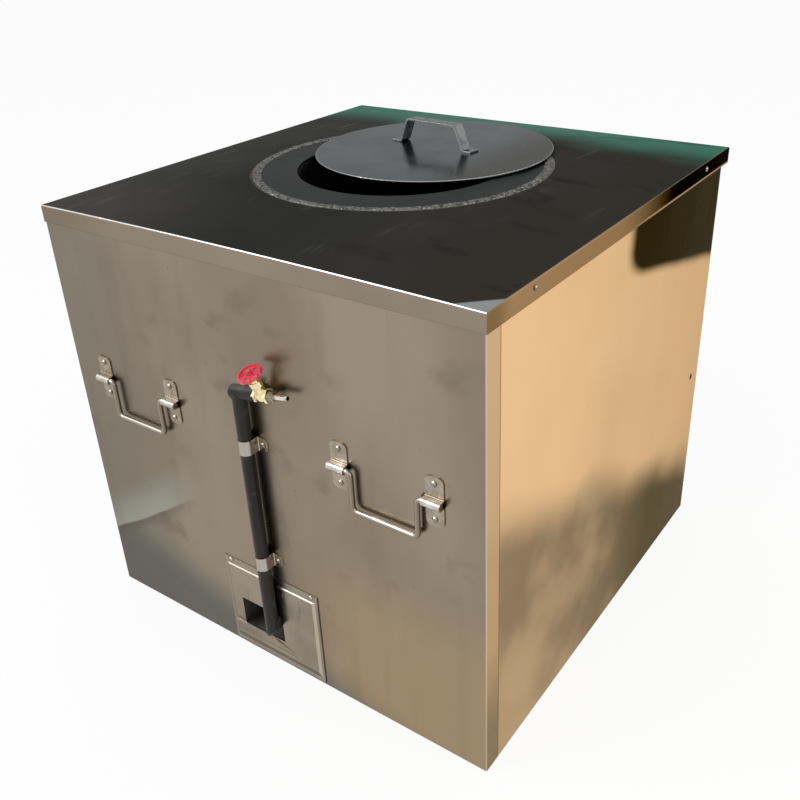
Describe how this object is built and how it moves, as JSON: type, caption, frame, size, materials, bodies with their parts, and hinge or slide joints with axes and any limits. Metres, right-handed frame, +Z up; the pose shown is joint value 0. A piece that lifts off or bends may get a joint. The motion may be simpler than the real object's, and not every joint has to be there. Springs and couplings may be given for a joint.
{
  "type": "gas tandoor oven",
  "caption": "Square stainless gas tandoor: clay pot under a crowned top with a round collar and loose lid, drop handles, burner opening, and a gas pipe with a brass handwheel valve.",
  "frame": {"origin": "on the floor under the middle of the square top tray", "axes": "+X to the right along the front, +Y to the back, +Z up"},
  "size_m": [0.8048, 0.845, 0.7963],
  "materials": {
    "casing_stainless": "polished sheet, warm with stains and smudges",
    "tray_stainless": "polished sheet, scuffed and reflecting dark",
    "collar_steel": "dull dark plate",
    "weld_steel": "rough bead",
    "fired_clay": "rough fired clay",
    "firebrick": "rough firebrick",
    "loose_insulation": "loose granular fill",
    "frame_steel": "dark primer",
    "tunnel_sheet": "dull sheet with soot",
    "black_pipe": "black satin",
    "bright_stainless": "polished",
    "valve_brass": "turned, bright",
    "wheel_red": "gloss enamel",
    "plated_nozzle": "bright plated",
    "burner_iron": "as cast",
    "lid_steel": "dull polished disc with a bright rim"
  },
  "bodies": {
    "cabinet": {"front_panel": "casing_stainless", "back_panel": "casing_stainless", "left_panel": "casing_stainless", "right_panel": "casing_stainless", "burner_cover": "casing_stainless", "top_tray": "tray_stainless", "collar_ring": "collar_steel", "collar_weld": "weld_steel", "pipe_welds": "weld_steel", "clay_pot": "fired_clay", "pot_support_ring": "firebrick", "insulation_fill": "loose_insulation", "base_plate": "frame_steel", "corner_posts": "frame_steel", "base_rails": "frame_steel", "top_rails": "frame_steel", "burner_stand": "frame_steel", "deflector_legs": "frame_steel", "burner_tunnel": "tunnel_sheet", "gas_riser": "black_pipe", "burner_feed_pipe": "black_pipe", "valve_stub_pipe": "black_pipe", "pipe_clip_upper": "bright_stainless", "pipe_clip_lower": "bright_stainless", "pipe_clip_screws": "bright_stainless", "tray_screws": "bright_stainless", "burner_cover_rivets": "bright_stainless", "front_handle_rivets": "bright_stainless", "back_handle_rivets": "bright_stainless", "front_left_saddles": "bright_stainless", "front_right_saddles": "bright_stainless", "back_left_saddles": "bright_stainless", "back_right_saddles": "bright_stainless", "valve_body": "valve_brass", "valve_bonnet": "valve_brass", "packing_nut": "valve_brass", "gas_jet": "valve_brass", "hose_nozzle": "plated_nozzle", "mixing_tube": "burner_iron", "burner_head": "burner_iron", "flame_deflector": "burner_iron"},
    "lid": {"lid_plate": "lid_steel", "lid_handle": "bright_stainless"},
    "valve_disc_body": {"valve_disc": "valve_brass"},
    "handwheel_body": {"handwheel": "wheel_red", "valve_stem": "valve_brass", "handwheel_nut": "bright_stainless"},
    "front_left_handle": {"front_left_bail": "bright_stainless"},
    "front_right_handle": {"front_right_bail": "bright_stainless"},
    "back_left_handle": {"back_left_bail": "bright_stainless"},
    "back_right_handle": {"back_right_bail": "bright_stainless"}
  },
  "joints": [
    {"name": "lid_lift", "type": "slide", "parent": "cabinet", "child": "lid", "axis": [0, 0, 1], "range_m": [0, 0.4]},
    {"name": "valve_disc_lift", "type": "slide", "parent": "cabinet", "child": "valve_disc_body", "axis": [-0.1632, -0.342, 0.9254], "range_m": [0, 0.0024]},
    {"name": "handwheel_turn", "type": "hinge", "parent": "valve_disc_body", "child": "handwheel_body", "pos_m": [0.05024, -0.41295, 0.53468], "axis": [-0.1632, -0.342, 0.9254], "range_deg": [0, 540]},
    {"name": "front_left_handle_swing", "type": "hinge", "parent": "cabinet", "child": "front_left_handle", "pos_m": [-0.245, -0.4068, 0.453], "axis": [-1, 0, 0], "range_deg": [0, 180]},
    {"name": "front_right_handle_swing", "type": "hinge", "parent": "cabinet", "child": "front_right_handle", "pos_m": [0.245, -0.4068, 0.453], "axis": [-1, 0, 0], "range_deg": [0, 180]},
    {"name": "back_left_handle_swing", "type": "hinge", "parent": "cabinet", "child": "back_left_handle", "pos_m": [-0.245, 0.38, 0.453], "axis": [1, 0, 0], "range_deg": [0, 180]},
    {"name": "back_right_handle_swing", "type": "hinge", "parent": "cabinet", "child": "back_right_handle", "pos_m": [0.245, 0.38, 0.453], "axis": [1, 0, 0], "range_deg": [0, 180]}
  ],
  "couplings": [
    {"joint": "valve_disc_lift", "follows": "handwheel_turn", "m_per_rad": 0.0002546}
  ]
}
